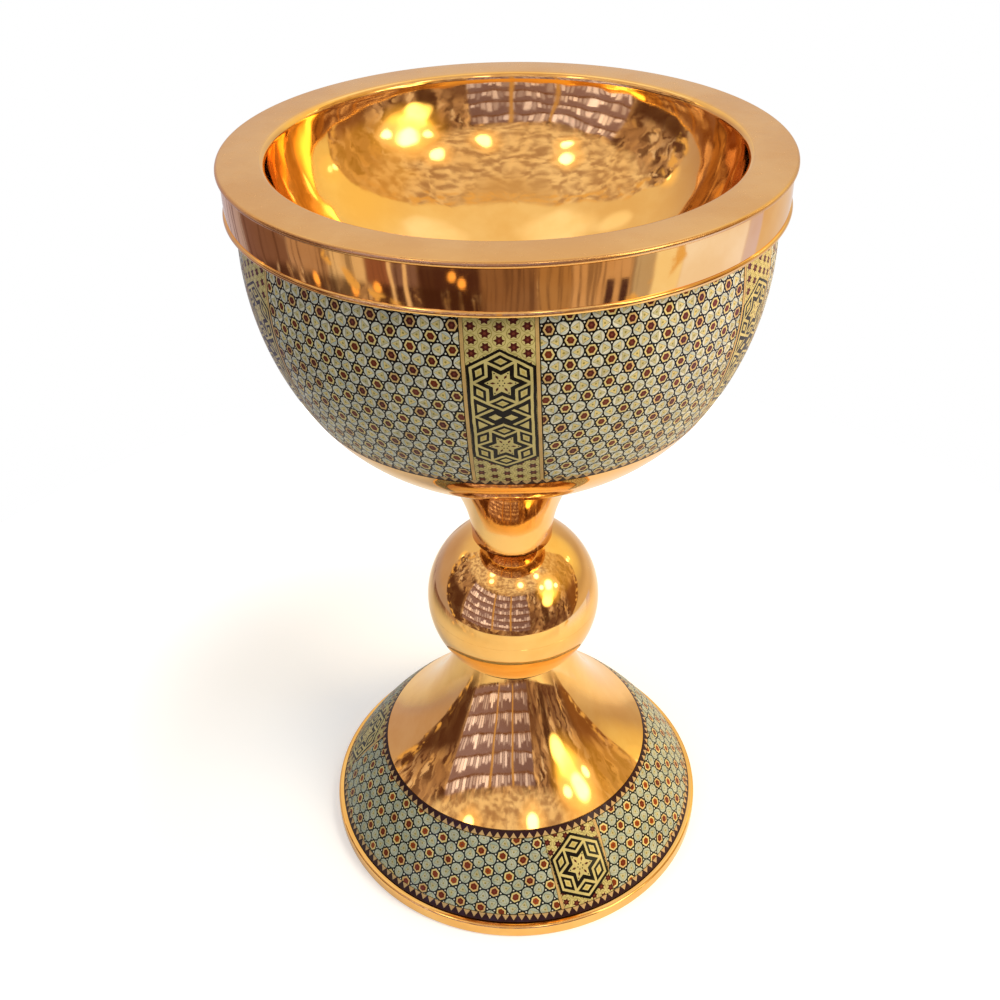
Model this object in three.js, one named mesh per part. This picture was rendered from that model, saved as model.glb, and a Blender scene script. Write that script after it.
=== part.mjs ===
// A copper pedestal bowl clad in khatam marquetry, in millimetres, +Z up.
// The origin is the centre of the foot's underside. Azimuth 0 is the front, towards -Y, and grows towards +X.
import * as THREE from "three";

// Bowl, measured down from the flat top of the rim
const RIM_RADIUS = 95;
const RIM_WIDTH = 16;
const RIM_THICKNESS = 2.2;
const LIP_RADIUS = 2.6;
const LINER_DEPTH = 57;
const LINER_WALL = 1.2;
const WELL_ARC = 84;
const BAND_SET_IN = 1.1;
const BAND_WALL = 1.2;
const BAND_HEIGHT = 15;
const BEAD_RADIUS = 1.1;
const BEAD_SET_IN = 0.55;
const BAND_STANDOFF = 1.7;
const BOWL_ARC_RADIUS = 107.7;
const BOWL_WIDEST_DROP = 29.4;
const BOWL_KHATAM_TOP_DROP = 12;
const BOWL_KHATAM_BOTTOM_DROP = 85.5;
const BOWL_BOTTOM_DROP = 117.4;
const BOWL_BOTTOM_BLEND = 24;
const BOWL_WALL = 1.5;

// Stem: neck, knop and cone, each rising from the piece below it
const NECK_TOP_RADIUS = 34.5;
const NECK_BOTTOM_RADIUS = 16.1;
const NECK_RISE = 43.541;
const NECK_WAIST_SHARE = 0.5;
const NECK_WAIST_SWELL = 0.4;
const NECK_WALL = 1.3;
const KNOP_RADIUS = 35.3;
const KNOP_WALL = 1.2;
const KNOP_HOLE_INSET = 4;
const CONE_TOP_RADIUS = 23.6;
const CONE_RISE = 51.261;
const CONE_HOLLOW = 5;

// Foot
const FOOT_KHATAM_TOP_RADIUS = 57.2;
const FOOT_KHATAM_BOTTOM_RADIUS = 79.4;
const FOOT_KHATAM_RISE = 29.8;
const FOOT_KHATAM_CROWN = 1.2;
const FOOT_WALL = 1.5;
const FOOT_RIM_OVERHANG = 2.1;
const FOOT_RIM_HEIGHT = 6;
const FOOT_RIM_WIDTH = 5.5;
const FOOT_RIM_ROUNDING = 1.2;

// Khatam sheets and their layout round the bowl and the foot
const KHATAM_THICKNESS = 1;
const BOWL_STRIPS = 6;
const BOWL_STRIP_WIDTH = 22.8;
const BOWL_STRIP_AZIMUTH = 0;
const BOWL_BORDER_WIDTH = 2.4;
const MEDALLIONS = 3;
const MEDALLION_WIDTH = 24.3;
const MEDALLION_AZIMUTH = 23.3;
const FOOT_BORDER_WIDTH = 3.2;

// Tie rod that clamps bowl, neck, knop and foot together
const ROD_RADIUS = 3;
const ROD_END_STICKOUT = 2.5;
const NUT_SIDES = 6;
const NUT_ACROSS_FLATS = 10;
const NUT_HEIGHT = 5;
const WASHER_RADIUS = 12;
const WASHER_THICKNESS = 1.6;
const CLAMP_DISC_THICKNESS = 3;
const CLAMP_DISC_DROP = 8;

// Clearances
const CONTACT_GAP = 0.3;
const ROD_CLEARANCE = 0.3;

// Facet counts
const WIDE_SEGMENTS = 36;
const STEM_SEGMENTS = 24;
const ROD_SEGMENTS = 16;
const SKIN_ANGLE_STEP = THREE.MathUtils.degToRad(7.5);
const WELL_STEPS = 10;
const BOWL_STEPS = 8;
const BOWL_BACK_STEPS = 9;
const BOWL_BOTTOM_STEPS = 6;
const NECK_STEPS = 8;
const KNOP_STEPS = 8;
const CONE_STEPS = 7;
const FOOT_KHATAM_STEPS = 5;
const ROUNDED_EDGE_STEPS = 4;
const ROUNDED_CORNER_STEPS = 3;

// Slack for comparing distances that went through rounding
const ROUNDING_SLACK = 1e-9;

// How far above or below the knop's centre a ring of this radius seats on the knop
function knopSeat(radius) {
  return Math.sqrt((KNOP_RADIUS + CONTACT_GAP) ** 2 - radius ** 2);
}

// Radii at the top, worked inwards from the rim
const mouthRadius = RIM_RADIUS - RIM_WIDTH;
const bandRadius = RIM_RADIUS - BAND_SET_IN;
const bowlRadius = bandRadius - BAND_WALL - BAND_STANDOFF;

// Heights above the floor, stacked from the foot up
const footKhatamBottomZ = FOOT_RIM_HEIGHT + CONTACT_GAP;
const footKhatamTopZ = footKhatamBottomZ + FOOT_KHATAM_RISE;
const coneTopZ = footKhatamTopZ + CONE_RISE;
const knopZ = coneTopZ + knopSeat(CONE_TOP_RADIUS);
const neckBottomZ = knopZ + knopSeat(NECK_BOTTOM_RADIUS);
const neckTopZ = neckBottomZ + NECK_RISE;
const bowlBottomZ = neckTopZ + CONTACT_GAP;
const rimTopZ = bowlBottomZ + BOWL_BOTTOM_DROP;
const rimUndersideZ = rimTopZ - RIM_THICKNESS;

// What the sheets of khatam stand proud of the metal under them
const skinDepth = KHATAM_THICKNESS + CONTACT_GAP;

// The outer bowl's wall grows thicker below the khatam, where its face comes out flush with the sheets
const bowlBottomWall = BOWL_WALL + skinDepth / 2;

// Materials
const copper = new THREE.MeshStandardMaterial({
  name: "copper",
  color: 0xd98c4e,
  roughness: 0.12,
  metalness: 1,
});
const khatamField = new THREE.MeshStandardMaterial({
  name: "khatam_field",
  color: 0x8c9079,
  roughness: 0.3,
  metalness: 0,
});
const khatamStrip = new THREE.MeshStandardMaterial({
  name: "khatam_strip",
  color: 0x8a7a38,
  roughness: 0.3,
  metalness: 0,
});
const khatamBorder = new THREE.MeshStandardMaterial({
  name: "khatam_border",
  color: 0x4a2f28,
  roughness: 0.3,
  metalness: 0,
});
const steel = new THREE.MeshStandardMaterial({
  name: "steel",
  color: 0x9a9c9e,
  roughness: 0.4,
  metalness: 1,
});

const point = (radius, z) => new THREE.Vector2(radius, z);

const copperBowl = new THREE.Group();
copperBowl.name = "copper_bowl";

function addPiece(name, geometry, material) {
  const mesh = new THREE.Mesh(geometry, material);
  mesh.name = name;
  copperBowl.add(mesh);
}

// Points of an arc about centre, from one angle to another, in radians above the radial direction.
function arc(centre, radius, from, to, steps) {
  return Array.from({ length: steps + 1 }, (_, i) => {
    const angle = from + ((to - from) * i) / steps;
    return point(centre.x + radius * Math.cos(angle), centre.y + radius * Math.sin(angle));
  });
}

function blend(start, control, end, steps) {
  return new THREE.QuadraticBezierCurve(start, control, end).getPoints(steps);
}

// The profile moved sideways by distance, to the left of its direction of travel.
function offset(profile, distance) {
  return profile.map((here, i) => {
    const before = profile[Math.max(i - 1, 0)];
    const after = profile[Math.min(i + 1, profile.length - 1)];
    const into = i ? here.clone().sub(before).normalize() : after.clone().sub(here).normalize();
    const outOf = i < profile.length - 1 ? after.clone().sub(here).normalize() : into.clone();
    const along = into.clone().add(outOf).normalize();
    const miter = distance / along.dot(into);
    return point(here.x - along.y * miter, here.y + along.x * miter);
  });
}

function signedArea(loop) {
  return loop.reduce((sum, here, i) => {
    const next = loop[(i + 1) % loop.length];
    return sum + (here.x * next.y - next.x * here.y) / 2;
  }, 0);
}

// A solid of revolution about Z, from a section that closes on itself or starts and ends on the axis.
function turned(section, segments) {
  const open = section[0].x === 0 && section[section.length - 1].x === 0;
  const loop = open ? [...section] : [...section, section[0].clone()];
  if (signedArea(section) < 0) loop.reverse();
  return new THREE.LatheGeometry(loop, segments).rotateX(Math.PI / 2);
}

// A ring of sheet whose visible face follows the profile and whose back lies a thickness to the left.
function sheetRing(face, back, segments) {
  return turned([...face, ...[...back].reverse()], segments);
}

// The profile with its last stretch cut back to a height.
function cutAtHeight(profile, z) {
  const last = profile.length - 1;
  const share = (profile[last - 1].y - z) / (profile[last - 1].y - profile[last].y);
  return [...profile.slice(0, last), profile[last - 1].clone().lerp(profile[last], share)];
}

// One curved panel of a skin: its face follows the profile from top to bottom, its back lies a thickness to
// the left, and it spans the azimuths given by edges(radius), which returns [low, high] in radians.
function skinPanel(profile, thickness, edges) {
  const back = offset(profile, thickness);
  const widest = Math.max(...profile.map((p) => edges(p.x)[1] - edges(p.x)[0]));
  const columns = Math.max(2, Math.ceil(widest / SKIN_ANGLE_STEP));
  const rows = profile.length - 1;
  const positions = [];
  for (const side of [profile, back]) {
    side.forEach((p, row) => {
      const [low, high] = edges(profile[row].x);
      for (let column = 0; column <= columns; column++) {
        const azimuth = low + ((high - low) * column) / columns;
        positions.push(p.x * Math.sin(azimuth), -p.x * Math.cos(azimuth), p.y);
      }
    });
  }
  const across = columns + 1;
  const backStart = across * profile.length;
  const index = [];
  const quad = (a, b, c, d) => index.push(a, b, c, a, c, d);
  for (let row = 0; row < rows; row++) {
    for (let column = 0; column < columns; column++) {
      const a = row * across + column;
      const b = a + across;
      quad(a, b, b + 1, a + 1);
      quad(backStart + a, backStart + a + 1, backStart + b + 1, backStart + b);
    }
    const left = row * across;
    const right = left + columns;
    quad(left, backStart + left, backStart + left + across, left + across);
    quad(right, right + across, backStart + right + across, backStart + right);
  }
  for (let column = 0; column < columns; column++) {
    const bottom = rows * across + column;
    quad(column, column + 1, backStart + column + 1, backStart + column);
    quad(bottom, backStart + bottom, backStart + bottom + 1, bottom + 1);
  }
  const geometry = new THREE.BufferGeometry();
  geometry.setAttribute("position", new THREE.Float32BufferAttribute(positions, 3));
  geometry.setIndex(index);
  geometry.computeVertexNormals();
  return geometry;
}

function profileLength(profile) {
  return profile.slice(1).reduce((sum, p, i) => sum + p.distanceTo(profile[i]), 0);
}

// The stretch of the profile between two distances along it
function stretch(profile, from, to) {
  const reached = profile.map((_, i) => profileLength(profile.slice(0, i + 1)));
  const at = (distance) => {
    const i = Math.max(1, reached.findIndex((d) => d >= distance - ROUNDING_SLACK));
    const share = (distance - reached[i - 1]) / (reached[i] - reached[i - 1]);
    return profile[i - 1].clone().lerp(profile[i], share);
  };
  const between = profile.filter((_, i) => reached[i] > from && reached[i] < to);
  return [at(from), ...between, at(to)];
}

// Bowl outline, from under the band down to the neck
const bowlArcCentre = point(bowlRadius - BOWL_ARC_RADIUS, rimTopZ - BOWL_WIDEST_DROP);

function bowlArcAngle(drop) {
  return Math.asin((rimTopZ - drop - bowlArcCentre.y) / BOWL_ARC_RADIUS);
}

const bowlKhatamFace = arc(
  bowlArcCentre,
  BOWL_ARC_RADIUS,
  bowlArcAngle(BOWL_KHATAM_TOP_DROP),
  bowlArcAngle(BOWL_KHATAM_BOTTOM_DROP),
  BOWL_STEPS,
);

function bareBowlBottom() {
  const angle = bowlArcAngle(BOWL_KHATAM_BOTTOM_DROP);
  const start = bowlKhatamFace[bowlKhatamFace.length - 1];
  const control = point(
    start.x + BOWL_BOTTOM_BLEND * Math.sin(angle),
    start.y - BOWL_BOTTOM_BLEND * Math.cos(angle),
  );
  return blend(start, control, point(NECK_TOP_RADIUS, bowlBottomZ), BOWL_BOTTOM_STEPS);
}

// Spun inner bowl, one sheet with the wide flat rim turned out of it
function addInnerBowl() {
  const lipCentre = point(mouthRadius + LIP_RADIUS, rimTopZ - LIP_RADIUS);
  const wellTopZ = lipCentre.y;
  const wellDepth = LINER_DEPTH - LIP_RADIUS;
  const end = THREE.MathUtils.degToRad(WELL_ARC);
  const angles = Array.from({ length: WELL_STEPS + 1 }, (_, i) => (i / WELL_STEPS) * end);
  // The well's wall follows an ellipse that stops short of upright at the mouth
  const ellipse = (radius, depth) =>
    angles.map((a) => {
      const drop = (depth * (Math.cos(a) - Math.cos(end))) / (1 - Math.cos(end));
      return point((radius * Math.sin(a)) / Math.sin(end), wellTopZ - drop);
    });
  const well = ellipse(mouthRadius, wellDepth);
  well[0].x = 0;
  const lip = arc(lipCentre, LIP_RADIUS, Math.PI, Math.PI / 2, ROUNDED_CORNER_STEPS).slice(1);
  const edgeCentre = point(RIM_RADIUS - RIM_THICKNESS / 2, rimTopZ - RIM_THICKNESS / 2);
  const edge = arc(edgeCentre, RIM_THICKNESS / 2, Math.PI / 2, -Math.PI / 2, ROUNDED_EDGE_STEPS);
  const outside = ellipse(mouthRadius + LINER_WALL, wellDepth + LINER_WALL).reverse();
  outside[outside.length - 1].x = 0;
  const underRim = point(mouthRadius + LINER_WALL, rimUndersideZ);
  const section = [...well, ...lip, ...edge, underRim, ...outside];
  addPiece("inner_bowl", turned(section, WIDE_SEGMENTS), copper);
}

// Upright band that hangs under the rim and covers the upper edge of the khatam
function addRimBand() {
  const topZ = rimUndersideZ - CONTACT_GAP;
  const beadZ = rimUndersideZ - BAND_HEIGHT + BEAD_RADIUS;
  const innerRadius = bandRadius - BAND_WALL;
  const beadCentre = point(bandRadius - BEAD_SET_IN, beadZ);
  const beadTop = Math.acos(BEAD_SET_IN / BEAD_RADIUS);
  const bead = arc(beadCentre, BEAD_RADIUS, beadTop, -Math.PI / 2, ROUNDED_EDGE_STEPS);
  const section = [
    point(innerRadius, topZ),
    point(innerRadius, beadZ - BEAD_RADIUS),
    ...bead.reverse(),
    point(bandRadius, topZ),
  ];
  addPiece("rim_band", turned(section, WIDE_SEGMENTS), copper);
}

// Spun outer bowl: recessed under the khatam, bare below it, with a flat bottom drilled for the tie rod
function addOuterBowl() {
  const top = rimUndersideZ - CONTACT_GAP;
  const topAngle = Math.asin((top - bowlArcCentre.y) / (BOWL_ARC_RADIUS - skinDepth));
  const bottomAngle = bowlArcAngle(BOWL_KHATAM_BOTTOM_DROP);
  const backRadius = BOWL_ARC_RADIUS - skinDepth;
  const backed = arc(bowlArcCentre, backRadius, topAngle, bottomAngle, BOWL_BACK_STEPS);
  const hole = point(ROD_RADIUS + ROD_CLEARANCE, bowlBottomZ);
  const outside = [...backed, ...bareBowlBottom(), hole];
  const innerArc = arc(bowlArcCentre, backRadius - BOWL_WALL, topAngle, bottomAngle, BOWL_BACK_STEPS);
  const innerBottom = offset([...bareBowlBottom(), hole], -bowlBottomWall).slice(1);
  innerBottom[innerBottom.length - 1].x = hole.x;
  addPiece(
    "outer_bowl",
    turned([...outside, ...[...innerArc, ...innerBottom].reverse()], WIDE_SEGMENTS),
    copper,
  );
}

// Khatam on the bowl: star strips, flower fields between them and a toothed border below
function addBowlKhatam() {
  const length = profileLength(bowlKhatamFace);
  const sheetEnd = length - BOWL_BORDER_WIDTH - CONTACT_GAP;
  const sheetFace = stretch(bowlKhatamFace, 0, sheetEnd);
  const borderFace = stretch(bowlKhatamFace, sheetEnd + CONTACT_GAP, length - CONTACT_GAP);
  const pitch = (2 * Math.PI) / BOWL_STRIPS;
  const stripHalf = (radius) => BOWL_STRIP_WIDTH / 2 / radius;
  const seamHalf = (radius) => CONTACT_GAP / 2 / radius;
  for (let i = 0; i < BOWL_STRIPS; i++) {
    const azimuth = THREE.MathUtils.degToRad(BOWL_STRIP_AZIMUTH) + i * pitch;
    const strip = skinPanel(sheetFace, -KHATAM_THICKNESS, (radius) => {
      const half = stripHalf(radius) - seamHalf(radius);
      return [azimuth - half, azimuth + half];
    });
    addPiece(`bowl_khatam_strip_${i + 1}`, strip, khatamStrip);
    const field = skinPanel(sheetFace, -KHATAM_THICKNESS, (radius) => {
      const edge = stripHalf(radius) + seamHalf(radius);
      return [azimuth + edge, azimuth + pitch - edge];
    });
    addPiece(`bowl_khatam_field_${i + 1}`, field, khatamField);
  }
  const border = sheetRing(borderFace, offset(borderFace, -KHATAM_THICKNESS), WIDE_SEGMENTS);
  addPiece("bowl_khatam_border", border, khatamBorder);
}

function addNeck() {
  const middle = point(
    NECK_BOTTOM_RADIUS + NECK_WAIST_SWELL,
    neckBottomZ + NECK_RISE * NECK_WAIST_SHARE,
  );
  const outside = blend(
    point(NECK_TOP_RADIUS, neckTopZ),
    middle,
    point(NECK_BOTTOM_RADIUS, neckBottomZ),
    NECK_STEPS,
  );
  const inside = outside.map((p) => point(p.x - NECK_WALL, p.y));
  inside[inside.length - 1].y = knopZ + knopSeat(NECK_BOTTOM_RADIUS - NECK_WALL);
  addPiece("neck", turned([...outside, ...inside.reverse()], STEM_SEGMENTS), copper);
}

// Knop: two raised half shells that meet at the equator, each with a hole that the tie rod passes
function addKnop() {
  const centre = point(0, knopZ);
  const innerRadius = KNOP_RADIUS - KNOP_WALL;
  for (const [name, holeRadius, side] of [
    ["knop_upper_half", NECK_BOTTOM_RADIUS - KNOP_HOLE_INSET, 1],
    ["knop_lower_half", CONE_TOP_RADIUS - KNOP_HOLE_INSET, -1],
  ]) {
    const seamAngle = (radius) => side * Math.asin(CONTACT_GAP / 2 / radius);
    const holeAngle = (radius) => side * Math.acos(holeRadius / radius);
    const outside = arc(centre, KNOP_RADIUS, holeAngle(KNOP_RADIUS), seamAngle(KNOP_RADIUS), KNOP_STEPS);
    const inside = arc(centre, innerRadius, seamAngle(innerRadius), holeAngle(innerRadius), KNOP_STEPS);
    addPiece(name, turned([...outside, ...inside], STEM_SEGMENTS), copper);
  }
}

// Foot outline: hollow-sided cone, then the slightly crowned khatam ring
const coneTop = point(CONE_TOP_RADIUS, coneTopZ);
const coneBottom = point(FOOT_KHATAM_TOP_RADIUS, footKhatamTopZ);
const khatamBottom = point(FOOT_KHATAM_BOTTOM_RADIUS, footKhatamBottomZ);

// A quadratic curve between two points whose middle stands off the straight line by bulge, to its left.
function bowed(start, end, bulge, steps) {
  const along = end.clone().sub(start).normalize();
  const middle = start.clone().lerp(end, 0.5);
  const control = point(middle.x - along.y * 2 * bulge, middle.y + along.x * 2 * bulge);
  return blend(start, control, end, steps);
}

const coneFace = bowed(coneTop, coneBottom, -CONE_HOLLOW, CONE_STEPS);
const footKhatamFace = bowed(coneBottom, khatamBottom, FOOT_KHATAM_CROWN, FOOT_KHATAM_STEPS);

// Spun foot: the cone and the recessed seat of the khatam ring in one sheet
function addFootShell() {
  const seat = cutAtHeight(offset(footKhatamFace, -skinDepth), footKhatamBottomZ);
  const seatInside = cutAtHeight(offset(footKhatamFace, -skinDepth - FOOT_WALL), footKhatamBottomZ);
  const coneInside = coneFace.map((p) => point(p.x - FOOT_WALL, p.y)).slice(0, -1);
  coneInside[0].y = knopZ - knopSeat(CONE_TOP_RADIUS - FOOT_WALL);
  const section = [...coneFace, ...seat, ...[...coneInside, ...seatInside].reverse()];
  addPiece("foot_shell", turned(section, WIDE_SEGMENTS), copper);
}

function addFootRim() {
  const outer = FOOT_KHATAM_BOTTOM_RADIUS + FOOT_RIM_OVERHANG;
  const inner = outer - FOOT_RIM_WIDTH;
  const round = FOOT_RIM_ROUNDING;
  const section = [
    point(inner, 0),
    ...arc(point(outer - round, round), round, -Math.PI / 2, 0, ROUNDED_CORNER_STEPS),
    ...arc(point(outer - round, FOOT_RIM_HEIGHT - round), round, 0, Math.PI / 2, ROUNDED_CORNER_STEPS),
    point(inner, FOOT_RIM_HEIGHT),
  ];
  addPiece("foot_rim", turned(section, WIDE_SEGMENTS), copper);
}

// Khatam on the foot: star medallions, flower fields between them and a toothed border above and below
function addFootKhatam() {
  const length = profileLength(footKhatamFace);
  const sheetStart = FOOT_BORDER_WIDTH + CONTACT_GAP;
  const sheetEnd = length - FOOT_BORDER_WIDTH - CONTACT_GAP;
  const sheetFace = stretch(footKhatamFace, sheetStart, sheetEnd);
  const pitch = (2 * Math.PI) / MEDALLIONS;
  for (let i = 0; i < MEDALLIONS; i++) {
    const azimuth = THREE.MathUtils.degToRad(MEDALLION_AZIMUTH) + i * pitch;
    const medallion = skinPanel(sheetFace, -KHATAM_THICKNESS, (radius) => {
      const half = (MEDALLION_WIDTH - CONTACT_GAP) / 2 / radius;
      return [azimuth - half, azimuth + half];
    });
    addPiece(`foot_khatam_medallion_${i + 1}`, medallion, khatamStrip);
    const field = skinPanel(sheetFace, -KHATAM_THICKNESS, (radius) => {
      const edge = (MEDALLION_WIDTH + CONTACT_GAP) / 2 / radius;
      return [azimuth + edge, azimuth + pitch - edge];
    });
    addPiece(`foot_khatam_field_${i + 1}`, field, khatamField);
  }
  for (const [name, from, to] of [
    ["foot_khatam_upper_border", CONTACT_GAP, FOOT_BORDER_WIDTH],
    ["foot_khatam_lower_border", sheetEnd + CONTACT_GAP, length],
  ]) {
    const face = stretch(footKhatamFace, from, to);
    const back = offset(face, -KHATAM_THICKNESS);
    const meetsRim = to === length;
    const trimmed = meetsRim ? cutAtHeight(back, footKhatamBottomZ) : back;
    addPiece(name, sheetRing(face, trimmed, WIDE_SEGMENTS), khatamBorder);
  }
}

function ring(innerRadius, outerRadius, bottomZ, topZ, segments) {
  const section = [
    point(innerRadius, bottomZ),
    point(outerRadius, bottomZ),
    point(outerRadius, topZ),
    point(innerRadius, topZ),
  ];
  return turned(section, segments);
}

function hexNut(bottomZ) {
  const shape = new THREE.Shape();
  const corner = NUT_ACROSS_FLATS / 2 / Math.cos(Math.PI / NUT_SIDES);
  for (let i = 0; i < NUT_SIDES; i++) {
    const angle = (i * 2 * Math.PI) / NUT_SIDES;
    shape[i ? "lineTo" : "moveTo"](corner * Math.cos(angle), corner * Math.sin(angle));
  }
  shape.closePath();
  const bore = new THREE.Path();
  bore.absarc(0, 0, ROD_RADIUS + ROD_CLEARANCE, 0, 2 * Math.PI, true);
  shape.holes.push(bore);
  const options = { depth: NUT_HEIGHT, bevelEnabled: false, curveSegments: ROD_SEGMENTS };
  return new THREE.ExtrudeGeometry(shape, options).translate(0, 0, bottomZ);
}

// Radius of the cone's inside wall at a height between its ends
function coneInsideRadius(z) {
  const i = coneFace.findIndex((p) => p.y <= z);
  const above = coneFace[i - 1];
  const below = coneFace[i];
  const share = (above.y - z) / (above.y - below.y);
  return above.x + (below.x - above.x) * share - FOOT_WALL;
}

// Tie rod with a nut at each end: a washer on the bowl's bottom and a disc that bears on the cone's inside
function addTieRod() {
  const holeRadius = ROD_RADIUS + ROD_CLEARANCE;
  const washerZ = bowlBottomZ + bowlBottomWall + CONTACT_GAP;
  const upperNutZ = washerZ + WASHER_THICKNESS + CONTACT_GAP;
  const discTopZ = coneTopZ - CLAMP_DISC_DROP;
  const discBottomZ = discTopZ - CLAMP_DISC_THICKNESS;
  const lowerNutZ = discBottomZ - CONTACT_GAP - NUT_HEIGHT;
  const rodBottomZ = lowerNutZ - ROD_END_STICKOUT;
  const rodTopZ = upperNutZ + NUT_HEIGHT + ROD_END_STICKOUT;
  const rod = new THREE.CylinderGeometry(ROD_RADIUS, ROD_RADIUS, rodTopZ - rodBottomZ, ROD_SEGMENTS)
    .rotateX(Math.PI / 2)
    .translate(0, 0, (rodTopZ + rodBottomZ) / 2);
  addPiece("tie_rod", rod, steel);
  const washer = ring(holeRadius, WASHER_RADIUS, washerZ, washerZ + WASHER_THICKNESS, STEM_SEGMENTS);
  addPiece("bowl_washer", washer, steel);
  addPiece("bowl_nut", hexNut(upperNutZ), steel);
  const discSection = [
    point(holeRadius, discBottomZ),
    point(coneInsideRadius(discBottomZ) - CONTACT_GAP, discBottomZ),
    point(coneInsideRadius(discTopZ) - CONTACT_GAP, discTopZ),
    point(holeRadius, discTopZ),
  ];
  addPiece("foot_clamp_disc", turned(discSection, WIDE_SEGMENTS), steel);
  addPiece("foot_nut", hexNut(lowerNutZ), steel);
}

addInnerBowl();
addRimBand();
addOuterBowl();
addBowlKhatam();
addNeck();
addKnop();
addFootShell();
addFootRim();
addFootKhatam();
addTieRod();

export default copperBowl;
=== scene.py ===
from math import acos, asin, cos, degrees, pi, radians, sin, sqrt, tau

import bmesh
import bpy
import numpy as np
from mathutils import Matrix, Vector


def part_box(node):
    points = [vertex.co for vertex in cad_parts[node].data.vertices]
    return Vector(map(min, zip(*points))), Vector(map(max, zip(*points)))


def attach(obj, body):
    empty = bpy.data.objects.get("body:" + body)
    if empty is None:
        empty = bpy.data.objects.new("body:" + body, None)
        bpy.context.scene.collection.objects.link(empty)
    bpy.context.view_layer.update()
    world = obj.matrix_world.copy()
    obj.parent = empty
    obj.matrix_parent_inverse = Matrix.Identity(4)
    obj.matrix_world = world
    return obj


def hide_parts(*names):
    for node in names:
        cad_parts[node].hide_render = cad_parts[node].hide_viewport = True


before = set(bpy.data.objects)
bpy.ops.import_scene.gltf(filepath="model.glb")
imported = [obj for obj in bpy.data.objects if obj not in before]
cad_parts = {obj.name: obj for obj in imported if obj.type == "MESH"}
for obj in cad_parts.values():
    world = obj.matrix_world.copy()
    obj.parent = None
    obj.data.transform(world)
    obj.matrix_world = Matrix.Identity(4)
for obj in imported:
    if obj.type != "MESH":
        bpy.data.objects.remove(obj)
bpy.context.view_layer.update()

MM = 0.001

# The photograph's camera
CAMERA_OUT = 385.1
CAMERA_HEIGHT = 440.2
CAMERA_AZIMUTH = 1.3
CAMERA_PITCH = 32.115
CAMERA_YAW = 0.584
CAMERA_ROLL = -1.194
CAMERA_LENS = 43.27
CAMERA_SHIFT_UP = -0.08

# Section sizes of the metal, as the frame has them
RIM_WIDTH = 16
RIM_THICKNESS = 2.2
LIP_RADIUS = 2.6
LIP_SATIN_START = 0.6
LINER_WALL = 1.2
WELL_ARC = 84
BAND_WALL = 1.2
BAND_CROWN = 0.15
BEAD_RADIUS = 1.1
BEAD_SET_IN = 0.55
BOWL_RADIUS = 91
BOWL_ARC_RADIUS = 107.7
BOWL_WIDEST_DROP = 29.4
BOWL_KHATAM_TOP_DROP = 12
BOWL_KHATAM_BOTTOM_DROP = 85.5
BOWL_BOTTOM_BLEND = 24
BOWL_WALL = 1.5
NECK_TOP_RADIUS = 34.5
NECK_BOTTOM_RADIUS = 16.1
NECK_WAIST_SWELL = 0.4
NECK_WALL = 1.3
KNOP_WALL = 1.2
KNOP_HOLE_INSET = 4
KNOP_SEAM = 0.012
KNOP_SEAM_LIP = 0.03
CONE_TOP_RADIUS = 23.6
CONE_HOLLOW = 5
FOOT_KHATAM_TOP_RADIUS = 57.2
FOOT_KHATAM_BOTTOM_RADIUS = 79.4
FOOT_KHATAM_CROWN = 1.2
FOOT_WALL = 1.5
FOOT_RIM_WIDTH = 5.5
FOOT_RIM_ROUNDING = 1.2
FOOT_RIM_CHAMFER = 0.3
ROD_RADIUS = 3
ROD_CLEARANCE = 0.3
ROD_CHAMFER = 0.6
THREADED_LENGTH = 12
THREAD_PITCH = 1
THREAD_DEPTH = 0.45
THREAD_RUN_OUT = 0.1
NUT_ACROSS_FLATS = 10
NUT_CHAMFER = 0.8
NUT_FACE_SHARE = 0.95
NUT_BORE_CHAMFER = 0.4
WASHER_CHAMFER = 0.25
DISC_CHAMFER = 0.3
GAP = 0.3

# Layout of the khatam. A start is the place of one flower's middle on a field's flat sheet
KHATAM_THICKNESS = 1
BOWL_STRIPS = 6
BOWL_STRIP_WIDTH = 22.8
BOWL_BORDER_WIDTH = 2.4
MEDALLIONS = 3
MEDALLION_WIDTH = 24.3
MEDALLION_AZIMUTH = 23.3
MEDALLION_TILT = 4
FOOT_BORDER_WIDTH = 3.2
STRIP_LEAN = 0.0245
STRIP_LEAN_MIDDLE = 24
FIELD_NARROWING = 1.3
FIRST_FIELD_START = (-28.3, -2.8)
LAST_FIELD_START = (27.45, -4.2)
OTHER_STARTS_REACH = 4
FOOT_FIELD_START = (-14.06, 2.49)
SEAM = 0.14
EDGE_ROUNDING = 0.12
LAYOUT_SEED = 5

# Mesh fineness
RING_STEPS = 288
STEM_RING_STEPS = 192
STEEL_RING_STEPS = 96
WELL_STEPS = 72
CURVE_STEPS = 48
FILLET_STEPS = 12
NUT_CHAMFER_STEPS = 6
THREAD_STEP = 0.125
PANEL_STEP = 1.6


# Sizes read from the frame

def top_of(node):
    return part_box(node)[1].z / MM


def bottom_of(node):
    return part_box(node)[0].z / MM


def radius_of(node):
    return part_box(node)[1].x / MM


rim_radius = radius_of("inner_bowl")
rim_top = top_of("inner_bowl")
liner_depth = rim_top - bottom_of("inner_bowl") - LINER_WALL
band_top = top_of("rim_band")
band_bottom = bottom_of("rim_band")
band_radius = radius_of("rim_band") - (BEAD_RADIUS - BEAD_SET_IN)
bowl_bottom = bottom_of("outer_bowl")
neck_top = top_of("neck")
knop_radius = radius_of("knop_upper_half")
knop_height = (bottom_of("knop_upper_half") + top_of("knop_lower_half")) / 2
cone_top = top_of("foot_shell")
foot_rim_height = top_of("foot_rim")
foot_rim_radius = radius_of("foot_rim")
foot_khatam_top = top_of("foot_khatam_upper_border")
foot_khatam_bottom = foot_rim_height + GAP


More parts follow.
